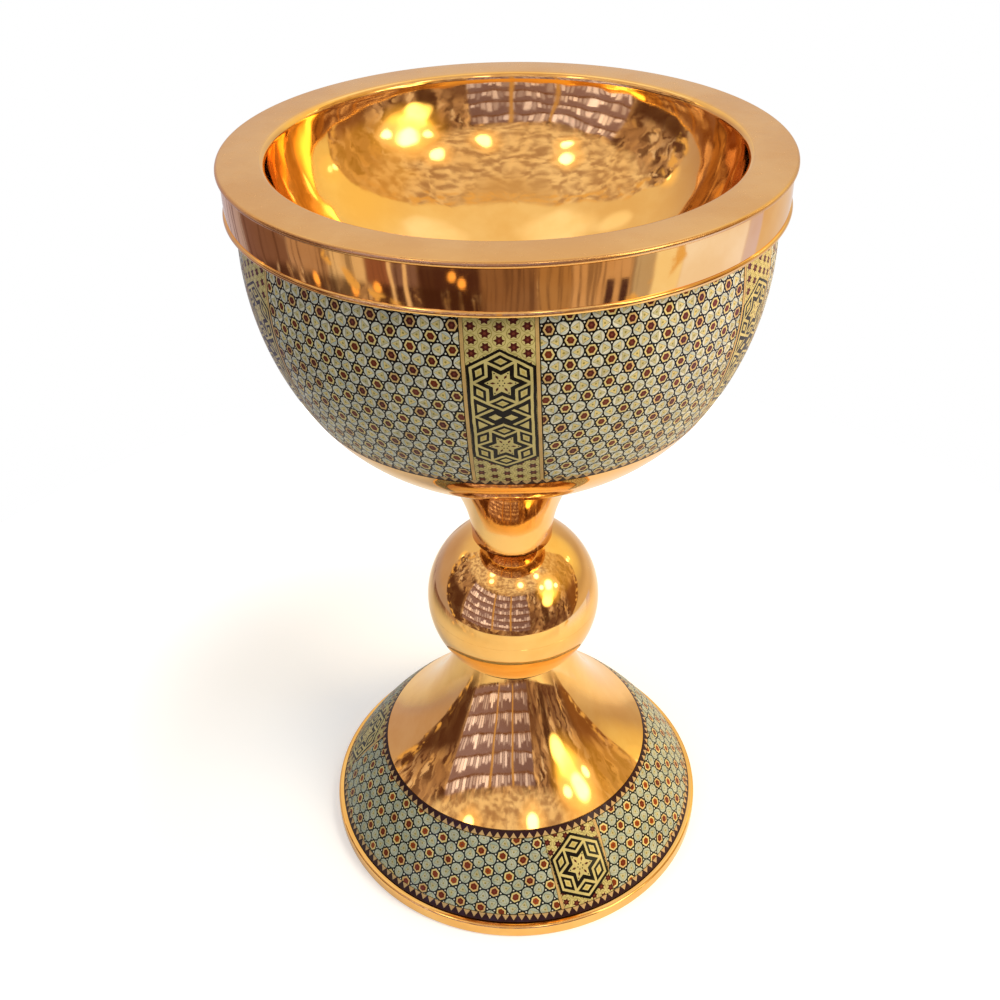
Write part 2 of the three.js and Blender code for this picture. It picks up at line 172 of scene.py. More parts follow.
# Outlines, as arrays of (radius, height)

def arc(centre, radius, start, end, steps):
    angles = np.radians(np.linspace(start, end, steps + 1))
    return np.stack([centre[0] + radius * np.cos(angles), centre[1] + radius * np.sin(angles)], 1)


def bezier(start, control, end, steps):
    t = np.linspace(0, 1, steps + 1)[:, None]
    start, control, end = (np.array(p, float) for p in (start, control, end))
    return (1 - t) ** 2 * start + 2 * t * (1 - t) * control + t ** 2 * end


def bowed(start, end, bulge, steps):
    """A curve whose middle stands off the straight line by bulge, to its left."""
    start, end = np.array(start, float), np.array(end, float)
    along = (end - start) / np.linalg.norm(end - start)
    control = (start + end) / 2 + 2 * bulge * np.array([-along[1], along[0]])
    return bezier(start, control, end, steps)


def normals(outline):
    """Unit vectors to the left of the direction of travel, which is outward on a falling outline."""
    steps = np.gradient(outline, axis=0)
    along = steps / np.linalg.norm(steps, axis=1)[:, None]
    return np.stack([-along[:, 1], along[:, 0]], 1)


def offset(outline, distance):
    """The outline moved sideways, to the left of its direction of travel."""
    return outline + distance * normals(outline)


# Meshes

def placed(name, data):
    """A new object in the scene."""
    thing = bpy.data.objects.new(name, data)
    bpy.context.scene.collection.objects.link(thing)
    return thing


def mesh_object(name, points, faces, sharp_angle=35):
    """An object from points in millimetres, with its faces outward and smooth between sharp edges."""
    mesh = bpy.data.meshes.new(name)
    mesh.from_pydata([Vector(p) * MM for p in points], [], faces)
    shaped = bmesh.new()
    shaped.from_mesh(mesh)
    bmesh.ops.recalc_face_normals(shaped, faces=shaped.faces)
    shaped.to_mesh(mesh)
    shaped.free()
    mesh.shade_smooth()
    mesh.set_sharp_from_angle(angle=radians(sharp_angle))
    return placed(name, mesh)


def turned(name, section, steps=RING_STEPS, sharp_angle=35, shape=None):
    """A solid of revolution about Z, from a closed section. Points on the axis become poles, and
    shape(azimuth, radius, height) may change a point's radius."""
    azimuths = np.linspace(0, tau, steps, endpoint=False)
    points = []
    rings = []
    for radius, height in section:
        if radius < 1e-6:
            rings.append([len(points)] * steps)
            points.append((0, 0, height))
        else:
            rings.append(list(range(len(points), len(points) + steps)))
            reaches = [shape(a, radius, height) if shape else radius for a in azimuths]
            points.extend(
                (r * sin(a), -r * cos(a), height) for a, r in zip(azimuths, reaches)
            )
    faces = []
    for here, there in zip(rings, rings[1:] + rings[:1]):
        if here[0] == here[1] and there[0] == there[1]:
            continue
        for i in range(steps):
            j = (i + 1) % steps
            faces.append(list(dict.fromkeys([here[i], here[j], there[j], there[i]])))
    return mesh_object(name, points, faces, sharp_angle)


class Skin:
    """The outline that a sheet of khatam lies on, measured along its face from the top."""

    def __init__(self, outline):
        self.outline = outline
        self.reach = np.concatenate([[0], np.cumsum(np.linalg.norm(np.diff(outline, axis=0), axis=1))])
        self.length = self.reach[-1]
        self.out = normals(outline)

    def at(self, distance, depth):
        radius, height = (np.interp(distance, self.reach, self.outline[:, k]) for k in (0, 1))
        out_r, out_z = (np.interp(distance, self.reach, self.out[:, k]) for k in (0, 1))
        return radius - depth * out_r, height - depth * out_z

    def radius(self, distance):
        return float(np.interp(distance, self.reach, self.outline[:, 0]))


def panel(name, skin, start, end, edges, flat):
    """A curved panel of khatam with softened edges. edges(radius, distance) gives its low and high
    azimuth, and flat(azimuth, distance) the place on its flat sheet, for a UV map named Sheet."""
    ends = [edges(skin.radius(d), d) for d in (start, end)]
    width = max(high - low for low, high in ends) * skin.radius(start)
    columns = max(3, round(width / PANEL_STEP))
    rows = max(2, round((end - start) / PANEL_STEP))
    layers = [(EDGE_ROUNDING, 0), (0, EDGE_ROUNDING), (0, KHATAM_THICKNESS)]
    points, places, grids = [], [], []
    for inset, depth in layers:
        grid = []
        for row in range(rows + 1):
            distance = start + inset + (end - start - 2 * inset) * row / rows
            radius, height = skin.at(distance, depth)
            face_radius = skin.radius(distance)
            low, high = edges(face_radius, distance)
            low, high = low + inset / face_radius, high - inset / face_radius
            line = []
            for column in range(columns + 1):
                line.append(len(points))
                if depth == EDGE_ROUNDING and row % rows and column % columns:
                    continue  # the edge's layer has an outline only
                azimuth = low + (high - low) * column / columns
                points.append((radius * sin(azimuth), -radius * cos(azimuth), height))
                places.append(flat(azimuth, distance))
            grid.append(line)
        grids.append(grid)
    face, _, back = grids
    faces = []
    for grid in (face, back):
        for upper, lower in zip(grid, grid[1:]):
            for i in range(columns):
                faces.append([upper[i], lower[i], lower[i + 1], upper[i + 1]])
    outlines = [
        grid[0][:-1] + [line[-1] for line in grid[:-1]]
        + grid[-1][:0:-1] + [line[0] for line in grid[:0:-1]]
        for grid in grids
    ]
    for outer, inner in zip(outlines, outlines[1:]):
        for i in range(len(outer)):
            j = (i + 1) % len(outer)
            faces.append([outer[i], outer[j], inner[j], inner[i]])
    piece = mesh_object(name, points, faces)
    layer = piece.data.uv_layers.new(name="Sheet")
    for loop in piece.data.loops:
        layer.data[loop.index].uv = places[loop.vertex_index]
    return piece


def edging(name, skin, start, end):
    """A ring of toothed edging, cut as one long strip whose ends meet at the back. Its Sheet map goes
    round the ring, and down it."""
    middle = skin.radius((start + end) / 2)
    half = pi - SEAM / middle / 2
    return panel(
        name, skin, start, end,
        edges=lambda radius, reach: (-half, half),
        flat=lambda azimuth, distance: (azimuth * middle, distance - start),
    )


# Numbers, colours and textures in a node tree

def put(slot, value):
    """Feeds a socket from a Number, another socket or a plain value."""
    if isinstance(value, Number):
        slot.id_data.links.new(value.socket, slot)
    elif isinstance(value, bpy.types.NodeSocket):
        slot.id_data.links.new(value, slot)
    elif slot.type == "RGBA":
        slot.default_value = (*value[:3], 1)
    else:
        slot.default_value = value


def feed(node, inputs):
    """Fills inputs of a node, given by name or number."""
    for name, value in inputs.items():
        put(node.inputs[name], value)
    return node


def add_node(tree, kind, inputs, **settings):
    node = tree.nodes.new("ShaderNode" + kind)
    for name, value in settings.items():
        setattr(node, name, value)
    return feed(node, inputs)


def operator(operation):
    """A method that puts a Math node on the number and its other operands."""
    return lambda self, *others: self.made(operation, self, *others)


class Number:
    """A number that varies over a surface. Arithmetic on it adds Math nodes to its tree."""

    def __init__(self, socket):
        self.tree = socket.id_data
        self.socket = socket

    def made(self, operation, *operands):
        node = add_node(self.tree, "Math", dict(enumerate(operands)), operation=operation)
        return Number(node.outputs[0])

    __add__ = __radd__ = operator("ADD")
    __sub__ = operator("SUBTRACT")
    __mul__ = operator("MULTIPLY")
    __truediv__ = operator("DIVIDE")
    __lt__ = operator("LESS_THAN")
    __gt__ = operator("GREATER_THAN")
    __abs__ = operator("ABSOLUTE")
    low = operator("MINIMUM")
    high = operator("MAXIMUM")
    floor = operator("FLOOR")
    root = operator("SQRT")
    arcsine = operator("ARCSINE")
    arctangent = operator("ARCTAN2")

    def __rsub__(self, other):
        return self.made("SUBTRACT", other, self)

    def between(self, low, high):
        return (self > low) * (self < high)

    def nearest(self, pitch):
        """The whole number of pitches that this is nearest to."""
        return (self / pitch + 0.5).floor()

    def off_nearest(self, pitch):
        """How far this is from the nearest whole number of pitches."""
        return self - self.nearest(pitch) * pitch

    def ramp(self, start, end, low=0, high=1):
        """low before start and high after end, smoothly between them."""
        node = add_node(
            self.tree, "MapRange",
            {"Value": self, "From Min": start, "From Max": end, "To Min": low, "To Max": high},
            interpolation_type="SMOOTHSTEP",
        )
        return Number(node.outputs["Result"])

    def over(self, ground, colour):
        """colour where this mask is 1, and ground where it is 0."""
        node = add_node(self.tree, "Mix", {0: self}, data_type="RGBA")
        for slot, value in zip((s for s in node.inputs if s.type == "RGBA"), (ground, colour)):
            put(slot, value)
        return next(s for s in node.outputs if s.type == "RGBA")


def distance(x, y):
    return (x * x + y * y).root()


def chosen(mask, yes, no):
    """yes where the mask is 1 and no where it is 0."""
    return mask * (yes - no) + no


def painted(ground, *layers):
    """A colour with layers over it, each a mask and a colour."""
    for mask, colour in layers:
        ground = mask.over(ground, colour)
    return ground


def display(red, green, blue):
    """A display colour, 0 to 255, as the linear one that it shows."""
    shares = (c / 255 for c in (red, green, blue))
    return tuple(c / 12.92 if c <= 0.04045 else ((c + 0.055) / 1.055) ** 2.4 for c in shares)


def vector(x, y, z=0):
    return add_node(x.tree, "CombineXYZ", {0: x, 1: y, 2: z}).outputs[0]


def split(socket):
    return [Number(s) for s in add_node(socket.id_data, "SeparateXYZ", {0: socket}).outputs]


def scaled(socket, scale):
    inputs = {0: socket, "Scale": scale}
    return add_node(socket.id_data, "VectorMath", inputs, operation="SCALE").outputs[0]


def noise(place, scale, detail=2, roughness=0.5):
    """Smooth random values round 0.5, as a Number and as a colour whose channels differ."""
    inputs = {"Vector": place, "Scale": scale, "Detail": detail, "Roughness": roughness}
    node = add_node(place.id_data, "TexNoise", inputs)
    return Number(node.outputs[0]), node.outputs[1]


def bump(height, depth, below=None):
    """A surface normal bent by height, from 0 to 1, over a depth in millimetres, on a coarser normal
    below."""
    node = add_node(height.tree, "Bump", {"Height": height, "Strength": 1, "Distance": depth * MM})
    if below is not None:
        put(node.inputs["Normal"], below)
    return node.outputs[0]


def new_material(name):
    material = bpy.data.materials.new(name)
    material.use_nodes = True
    tree = material.node_tree
    return material, tree, tree.nodes["Principled BSDF"]


def object_place(tree):
    """The point on the surface, in millimetres."""
    return scaled(add_node(tree, "TexCoord", {}).outputs["Object"], 1 / MM)


def sheet_place(tree):
    """The place on the flat khatam sheet, across and down it, in millimetres."""
    return split(add_node(tree, "UVMap", {}, uv_map="Sheet").outputs[0])[:2]


# Khatam patterns. Each takes a place on the sheet in millimetres and returns a colour socket

INK = display(16, 10, 4)
INK_GREEN = display(28, 32, 26)
CREAM = display(206, 186, 122)
RING_TAN = display(196, 164, 106)
STAR_RED = display(74, 26, 18)
STAR_HEART = display(108, 52, 34)
FLOWER_RED = display(100, 38, 12)
FLOWER_ORANGE = display(142, 66, 14)
YELLOW = display(192, 176, 114)
YELLOW_DEEP = display(180, 158, 82)
OLIVE = display(140, 128, 62)
TAN = display(190, 156, 98)
BONE = display(206, 204, 186)
PETAL_GREY = display(206, 200, 178)
PETAL_BLUE = display(172, 180, 170)
PETAL_GREEN = display(150, 162, 144)
PETAL_PALE = display(172, 174, 152)
LEAF_GREY = display(172, 166, 126)
TOOTH = display(184, 152, 104)
TOOTH_DARK = display(46, 24, 24)

SIN_60 = sqrt(3) / 2
FLECK_SCALE = 5
HAIRLINE = 0.14

# The flower lattice, in shares of the distance from one motif to the next. Three motifs meet at MEETING
# from each, BEAD is a dot's place in the sixth part of a motif, and the rest are reaches from a middle
FIELD_WANDER = 0.16
FIELD_WANDER_SCALE = 0.12
HEART_CORE = 0.05
HEART = 0.142
RING = 0.215
BEAD = (0.277, 0.16)
BEAD_SIZE = 0.036
MEETING = 0.577
PETAL_SIZE = 0.252
PETAL_PATCH_MIDDLE = 0.62
PETAL_PATCH = 0.3
PETAL_PATCH_RIM = 0.265
TRIANGLE_OUTLINE = 0.462
TRIANGLE = 0.47
TRIANGLE_DOT = 0.045

# The star medallion, in millimetres from its middle
HEXAGON = 9.95
HEXAGON_LINE = (8.2, 9.05)
RHOMBUS_LAYERS = ((5.4, 7.3, YELLOW), (5.9, 6.85, YELLOW_DEEP))
STAR_TIP = 8.3
STAR_LAYERS = ((4.6, YELLOW), (3.75, INK), (2.5, YELLOW))
DART_MIDDLE = 2.5
DART_HALF_LENGTH = 0.9
DART_HALF_WIDTH = 0.4
DOT = 0.24
DOT_MIDDLES = (1, 4)

# The small stars, in cells whose middles hold one more each
STAR_CELL = (8, 4.2)
SMALL_STAR = 0.86
SMALL_STAR_HEART = 0.4
SMALL_STAR_RING = (1.78, 1.98)

# The bowl's strip. Its middle is measured down from the widest ring of the bowl
STRIP_WANDER = 0.7
STRIP_WANDER_SCALE = 0.15
STRIP_LINE = (10.1, 11.15)
STRIP_MIDDLE = 22.9
STRIP_STARS_START = -3.9
MEDALLION_OFF_MIDDLE = 12.8
LATTICE_CROSS = (3.6, 4.4)
LATTICE_CROSS_END = 10
LATTICE_DIAMOND_MIDDLE = 2.35
LATTICE_CORNER_START = 5.2
LATTICE_CORNER_SIDE = 7.4
LATTICE_CORNER_END = 10.4

# The foot's medallion, and the teeth of the edging
FOOT_MEDALLION_STRETCH = (1.11, 1.25)
FOOT_STARS_START = (-2, -1.1)
FOOT_MEDALLION_LINE = (11.3, 12.6)
TOOTH_PITCH = 3.27
TOOTH_HEIGHT = 2.1
TOOTH_HALF_WIDTH = 1.35


def slant(a, b):
    """How far a point lies out along the direction 60 degrees from the first axis."""
    return a * 0.5 + b * SIN_60


def fold_to_wedge(x, y):
    """Folds the plane into the sixth part whose middle line points along +X, and its lower half up."""
    x, y = abs(x), abs(y)
    past = (y * SIN_60 - x * 0.5).high(0)
    return x + past, abs(y - past * sqrt(3))


def nearest_cell(x, y, width, height):
    """The offset from the nearest point of a lattice of width by height cells, whose middles hold
    points too."""
    ax, ay = x.off_nearest(width), y.off_nearest(height)
    bx, by = (x + width / 2).off_nearest(width), (y + height / 2).off_nearest(height)
    nearer = (ax * ax + ay * ay) < (bx * bx + by * by)
    return chosen(nearer, ax, bx), chosen(nearer, ay, by)


def unevenness(place, scale):
    """Fine and broad random values round 0.5, and two broad ones round 0 that shift the rods."""
    fleck, _ = noise(place, FLECK_SCALE)
    wander, colours = noise(place, scale)
    shift_x, shift_y, _ = split(colours)
    return fleck, wander, shift_x - 0.5, shift_y - 0.5


def aged(colour, fleck, wander):
    """Uneven stain and grain, so that no two rods of the marquetry are alike."""
    return scaled(colour, fleck.ramp(0.25, 0.75, 0.8, 1.12) * wander.ramp(0.3, 0.7, 0.88, 1.08))


def flower_field(across, down, spacing, row_pitch, petals, leaves, heart, ground):
    """Dark red hexagons in pale rings, with petals about them and a triangle where three motifs meet.
    Columns of motifs are spacing * SIN_60 apart, and the motifs in a column row_pitch."""
    place = vector(across, down)
    fleck, wander, shift_x, shift_y = unevenness(place, FIELD_WANDER_SCALE)
    across = (across + shift_x * (FIELD_WANDER * spacing)) / spacing
    down = (down + shift_y * (FIELD_WANDER * spacing)) / row_pitch
    x, y = nearest_cell(across, down, 2 * SIN_60, 1)
    motif = vector((across - x).nearest(SIN_60), (down - y).nearest(0.5))
    luck = Number(add_node(x.tree, "TexWhiteNoise", {"Vector": motif}).outputs["Value"])
    x, y = fold_to_wedge(x, y)
    side = slant(y, x)
    shade, _ = noise(place, 0.28, 3)
    from_meeting = distance(x - MEETING, y)
    from_patch = distance(x - PETAL_PATCH_MIDDLE, y)
    petal = (from_patch < PETAL_PATCH) * (from_meeting < PETAL_SIZE)
    petal_face = shade.ramp(0.4, 0.6).over(*petals)
    petal_edge = shade.ramp(0.35, 0.65).over(*petals[::-1])
    leaf = (shade + luck * 0.1).ramp(0.4, 0.65).over(*leaves)
    colour = painted(
        ground,
        (distance(x - BEAD[0], y - BEAD[1]) < BEAD_SIZE, BONE),
        (petal, (from_patch > PETAL_PATCH_RIM).over(petal_face, petal_edge)),
        (x > TRIANGLE_OUTLINE, ground),
        (x > TRIANGLE, leaf),
        (from_meeting < TRIANGLE_DOT, OLIVE),
        (side < RING, (luck > 0.35).over(RING_TAN, CREAM)),
        (side < HEART, luck.ramp(0.1, 0.9).over(*heart)),
        (side < HEART_CORE, STAR_HEART),
    )
    return aged(colour, fleck, wander)


def star_reach(a, b):
    """How far out a point lies in a six-pointed star with tips along X. a and b are positive."""
    return slant(a, b).low(a.high(b * SIN_60 - a * 0.5))


def medallion(a, b, ground):
    """A hexagon with a star and rhombi in it, over ground. a and b are the distances from its middle."""
    edge = a.high(slant(a, b))
    star = star_reach(a, b)
    x, y = fold_to_wedge(a, b)
    dart = abs(x - DART_MIDDLE) / DART_HALF_LENGTH + y / DART_HALF_WIDTH < 1
    return painted(
        ground,
        (edge < HEXAGON, INK),
        (edge.between(*HEXAGON_LINE), YELLOW),
        *(((star > near) * (edge < far), tone) for near, far, tone in RHOMBUS_LAYERS),
        *(((star < reach) * (edge < STAR_TIP), tone) for reach, tone in STAR_LAYERS),
        (dart, STAR_RED),
        *((distance(x - middle, y) < DOT, INK) for middle in DOT_MIDDLES),
    )


def small_stars(across, down):
    """Dark red stars in olive rings on yellow, in staggered rows."""
    x, y = nearest_cell(across, down, *STAR_CELL)
    a, b = abs(x), abs(y)
    out = distance(a, b)
    star = star_reach(a, b) < SMALL_STAR
    ring = out.between(*SMALL_STAR_RING)
    return painted(YELLOW, (ring, OLIVE), (star, STAR_RED), (out < SMALL_STAR_HEART, STAR_HEART))


def border_lines(colour, a, inner, outer):
    """A tan line between two dark hairlines, a being the distance from the middle of the strip."""
    return painted(colour, (a > inner - HAIRLINE, INK), (a > inner, TAN), (a > outer, INK))


def bowl_strip(across, down):
    """Two star medallions joined by a lattice, small stars above and below, and tan border lines."""
    place = vector(across, down)
    fleck, wander, shift_x, shift_y = unevenness(place, STRIP_WANDER_SCALE)
    border = abs(across)
    across = across + shift_x * STRIP_WANDER
    down = down + shift_y * STRIP_WANDER
    a = abs(across)
    near = abs(down - STRIP_MIDDLE)
    b = abs(near - MEDALLION_OFF_MIDDLE)
    edge = a.high(slant(a, b))
    arm = slant(a, near)
    corner = (arm > LATTICE_CORNER_START) * (a < LATTICE_CORNER_SIDE) * (edge > LATTICE_CORNER_END)
    lattice = painted(
        INK,
        (arm.between(*LATTICE_CROSS) * (edge > LATTICE_CROSS_END), YELLOW),
        (slant(abs(a - LATTICE_DIAMOND_MIDDLE), near) < 1, YELLOW),
        (corner, YELLOW),
        (a.between(*HEXAGON_LINE), YELLOW),
    )
    latticed = (near < MEDALLION_OFF_MIDDLE) * (edge > HEXAGON_LINE[1]) * (a < HEXAGON)
    colour = medallion(a, b, small_stars(across, down - STRIP_STARS_START))
    colour = border_lines(latticed.over(colour, lattice), border, *STRIP_LINE)
    return aged(colour, fleck, wander)


def foot_medallion(across, down):
    """One star medallion, a little taller than wide, with small stars in its corners."""
    fleck, wander, _, _ = unevenness(vector(across, down), STRIP_WANDER_SCALE)
    a, b = (abs(place / stretch) for place, stretch in zip((across, down), FOOT_MEDALLION_STRETCH))
    stars = small_stars(across - FOOT_STARS_START[0], down - FOOT_STARS_START[1])
    colour = border_lines(medallion(a, b, stars), abs(across), *FOOT_MEDALLION_LINE)
    return aged(colour, fleck, wander)


def teeth(around, down, base=0):
    """Tan teeth on a dark ground, which point down, or up from a base so far down."""
    across = base - down if base else down
    fleck, _ = noise(vector(around, across), 4)
    off = abs(around.off_nearest(TOOTH_PITCH))
    tooth = off / TOOTH_HALF_WIDTH + across / TOOTH_HEIGHT < 1
    return aged(tooth.over(TOOTH_DARK, TOOTH), fleck, fleck)


# Materials

LACQUER_FLOW = 0.35
WOOD_GRAIN = 0.02
STEEL_GRAIN = 0.01


def khatam_material(name, pattern, *settings):
    """Marquetry under a glossy lacquer."""
    material, tree, shader = new_material(name)
    place = object_place(tree)
    grain, _ = noise(place, 2.2, 3)
    flow, _ = noise(place, 0.09)
    feed(shader, {
        "Base Color": pattern(*sheet_place(tree), *settings),
        "Roughness": grain.ramp(0.3, 0.7, 0.3, 0.5),
        "Specular IOR Level": 0.08,
        "Coat Weight": 0.2,
        "Coat Roughness": 0.06,
        "Coat Normal": bump(flow, LACQUER_FLOW),
        "Normal": bump(grain, WOOD_GRAIN),
    })
    return material


def copper_material(name, tones, roughness, ripple, ripple_size, line_depth, line_pitch=0.35):
    """Spun copper: broad ripples, fine turned lines, and an uneven polish."""
    material, tree, shader = new_material(name)
    place = object_place(tree)
    x, y, z = split(place)
    patina, _ = noise(place, 0.035, 4, 0.6)
    smear, _ = noise(place, 0.25, 5, 0.65)
    waves, _ = noise(place, 1 / ripple_size, 1)
    lines, _ = noise(vector(distance(x, y), z, patina * 0.6), 1 / line_pitch, 2, 0.6)
    feed(shader, {
        "Base Color": patina.ramp(0.35, 0.65).over(*tones),
        "Metallic": 1,
        "Roughness": smear.ramp(0.3, 0.75, roughness * 0.75, roughness * 1.5),
        "Normal": bump(lines, line_depth, bump(waves, ripple)),
    })
    return material


def steel_material(name):
    """Bright zinc-plated steel, a little dulled."""
    material, tree, shader = new_material(name)
    place = object_place(tree)
    cloud, _ = noise(place, 0.3, 4)
    brush, _ = noise(place, 3)
    feed(shader, {
        "Base Color": cloud.ramp(0.35, 0.65).over(display(172, 172, 168), display(205, 206, 206)),
        "Metallic": 1,
        "Roughness": cloud.ramp(0.3, 0.7, 0.28, 0.42),
        "Normal": bump(brush, STEEL_GRAIN),
    })
    return material


POLISHED = (display(245, 190, 106), display(252, 203, 122))
SATIN = (display(228, 176, 108), display(236, 188, 122))

polished = copper_material(
    "polished_copper", POLISHED, roughness=0.05, ripple=0.12, ripple_size=16, line_depth=0.0016,
)
polished_well = copper_material(
    "polished_well", POLISHED, roughness=0.06, ripple=0.35, ripple_size=17, line_depth=0.002,
)
satin_rim = copper_material(
    "satin_rim", SATIN, roughness=0.2, ripple=0.06, ripple_size=20, line_depth=0.006, line_pitch=0.5,
)
steel = steel_material("zinc_plated_steel")
bowl_field_material = khatam_material(
    "bowl_flower_khatam", flower_field, 7.1, 7.85,
    (PETAL_GREY, PETAL_BLUE), (LEAF_GREY, CREAM), (STAR_RED, FLOWER_RED), INK,
)
foot_field_material = khatam_material(
    "foot_flower_khatam", flower_field, 8.6, 8.6,
    (PETAL_PALE, PETAL_GREEN), (PETAL_PALE, LEAF_GREY), (FLOWER_RED, FLOWER_ORANGE), INK_GREEN,
)
bowl_strip_material = khatam_material("bowl_strip_khatam", bowl_strip)
medallion_material = khatam_material("medallion_khatam", foot_medallion)
edging_up_material = khatam_material("edging_teeth_up", teeth, FOOT_BORDER_WIDTH - GAP)
edging_down_material = khatam_material("edging_teeth_down", teeth)


# Pieces

bore_radius = ROD_RADIUS + ROD_CLEARANCE


def fit(piece, material, slot, *nodes):
    """Finishes a piece that stands for CAD nodes and rides with the whole object."""
    piece.data.materials.append(material)
    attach(piece, "root")
    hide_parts(*nodes)
    return piece


well_top = rim_top - LIP_RADIUS
mouth_radius = rim_radius - RIM_WIDTH
rim_underside = rim_top - RIM_THICKNESS


def add_inner_bowl():
    depth = liner_depth - LIP_RADIUS
    angles = np.radians(np.linspace(0, WELL_ARC, WELL_STEPS + 1))
    out = np.sin(angles) / sin(angles[-1])
    drop = (np.cos(angles) - cos(angles[-1])) / (1 - cos(angles[-1]))
    well = np.stack([mouth_radius * out, well_top - depth * drop], 1)
    outer = mouth_radius + LINER_WALL
    outside = np.stack([outer * out, well_top - (depth + LINER_WALL) * drop], 1)
    lip = arc((mouth_radius + LIP_RADIUS, well_top), LIP_RADIUS, 180, 90, FILLET_STEPS)
    half = RIM_THICKNESS / 2
    edge = arc((rim_radius - half, rim_top - half), half, 90, -90, steps=14)
    section = [*well, *lip[1:], *edge, (outer, rim_underside), *outside[::-1]]
    piece = fit(turned("spun_well_and_rim", section), polished_well, "copper", "inner_bowl")
    piece.data.materials.append(satin_rim)
    start = LIP_RADIUS * LIP_SATIN_START
    for face in piece.data.polygons:
        past_lip = face.center.xy.length > (mouth_radius + start) * MM
        if past_lip and face.center.z > (rim_top - start) * MM:
            face.material_index = 1


def add_rim_band():
    bead_height = band_bottom + BEAD_RADIUS
    bead_start = degrees(acos(BEAD_SET_IN / BEAD_RADIUS))
    bead = arc((band_radius - BEAD_SET_IN, bead_height), BEAD_RADIUS, bead_start, -90, FILLET_STEPS)
    inner = band_radius - BAND_WALL
    share = np.linspace(0, 1, FILLET_STEPS + 1)
    crown = band_radius - BAND_CROWN * (2 * share - 1) ** 2
    face = np.stack([crown, bead[0][1] + (band_top - bead[0][1]) * share], 1)
    section = [(inner, band_top), (inner, band_bottom), *bead[::-1], *face]
    fit(turned("upright_rim_band", section), polished, "copper", "rim_band")


bowl_centre = (BOWL_RADIUS - BOWL_ARC_RADIUS, rim_top - BOWL_WIDEST_DROP)
skin_depth = KHATAM_THICKNESS + GAP


def bowl_angle(drop):
    return degrees(asin((rim_top - drop - bowl_centre[1]) / BOWL_ARC_RADIUS))


khatam_top_angle = bowl_angle(BOWL_KHATAM_TOP_DROP)
khatam_bottom_angle = bowl_angle(BOWL_KHATAM_BOTTOM_DROP)
bowl_skin = Skin(arc(bowl_centre, BOWL_ARC_RADIUS, khatam_top_angle, khatam_bottom_angle, steps=96))


def add_outer_bowl():
    back = BOWL_ARC_RADIUS - skin_depth
    top_angle = degrees(asin((band_top - bowl_centre[1]) / back))
    backed = arc(bowl_centre, back, top_angle, khatam_bottom_angle, CURVE_STEPS)
    start = bowl_skin.outline[-1]
    turn = radians(khatam_bottom_angle)
    control = start + BOWL_BOTTOM_BLEND * np.array([sin(turn), -cos(turn)])
    bottom = bezier(start, control, (NECK_TOP_RADIUS, bowl_bottom), steps=32)
    hole = (bore_radius, bowl_bottom)
    wall = BOWL_WALL + skin_depth / 2
    inside = arc(bowl_centre, back - BOWL_WALL, top_angle, khatam_bottom_angle, CURVE_STEPS)
    inside_bottom = offset(np.array([*bottom, hole]), -wall)[1:]
    inside_bottom[-1] = (bore_radius, bowl_bottom + wall)
    section = [*backed, *bottom, hole, *inside_bottom[::-1], *inside[::-1]]
    fit(turned("spun_outer_bowl", section), polished, "copper", "outer_bowl")


def lay_sheets(count, width, skin, start, end, line, strips, fields):
    """Strips of khatam of one width round a skin, and the fields between them. line(number, reach) is
    the azimuth of a strip's middle line. strips and fields hold the names of piece and node, the slot,
    the material, and place(number, azimuth, reach), which is on the flat sheet."""
    half, far = (width - SEAM) / 2, (width + SEAM) / 2
    for i in range(count):
        for kind, left, right in ((strips, (i, -half), (i, half)), (fields, (i, far), (i + 1, -far))):
            name, node, slot, material, place = kind
            piece = panel(
                f"{name}_{i + 1}", skin, start, end,
                edges=lambda radius, reach: [line(n, reach) + off / radius for n, off in (left, right)],
                flat=lambda azimuth, reach: place(i, azimuth, reach),
            )
            fit(piece, material, slot, f"{node}_{i + 1}")


def add_bowl_khatam():
    sheet_end = bowl_skin.length - BOWL_BORDER_WIDTH - GAP
    widest = radians(khatam_top_angle) * BOWL_ARC_RADIUS
    pitch = tau / BOWL_STRIPS
    luck = np.random.default_rng(LAYOUT_SEED)
    leans = [STRIP_LEAN, *luck.uniform(-STRIP_LEAN, STRIP_LEAN, BOWL_STRIPS - 1)]
    others = luck.uniform(-OTHER_STARTS_REACH, OTHER_STARTS_REACH, (BOWL_STRIPS - 2, 2))
    starts = [FIRST_FIELD_START, *others, LAST_FIELD_START]

    def middle_line(number, reach):
        """The azimuth of a strip's middle line, which leans a little."""
        off = leans[number % BOWL_STRIPS] * (reach - widest - STRIP_LEAN_MIDDLE)
        return number * pitch + off / bowl_skin.radius(reach)

    def strip_place(number, azimuth, reach):
        return (azimuth - middle_line(number, reach)) * bowl_skin.radius(reach), reach - widest

    def field_place(number, azimuth, reach):
        """A field's columns draw together a little faster than the bowl narrows."""
        spread = BOWL_RADIUS + FIELD_NARROWING * (bowl_skin.radius(reach) - BOWL_RADIUS)
        across, down = starts[number]
        return (azimuth - (number + 0.5) * pitch) * spread - across, reach - widest - down

    lay_sheets(
        BOWL_STRIPS, BOWL_STRIP_WIDTH, bowl_skin, 0, sheet_end, middle_line,
        ("star_strip", "bowl_khatam_strip", "khatam_strip", bowl_strip_material, strip_place),
        ("flower_field", "bowl_khatam_field", "khatam_field", bowl_field_material, field_place),
    )
    border = edging("bowl_edging", bowl_skin, sheet_end + GAP, bowl_skin.length - GAP)
    fit(border, edging_down_material, "khatam_border", "bowl_khatam_border")


def off_knop(radius):
    """How far above or below the knop's middle the gap round the knop has this radius."""
    return sqrt((knop_radius + GAP) ** 2 - radius ** 2)


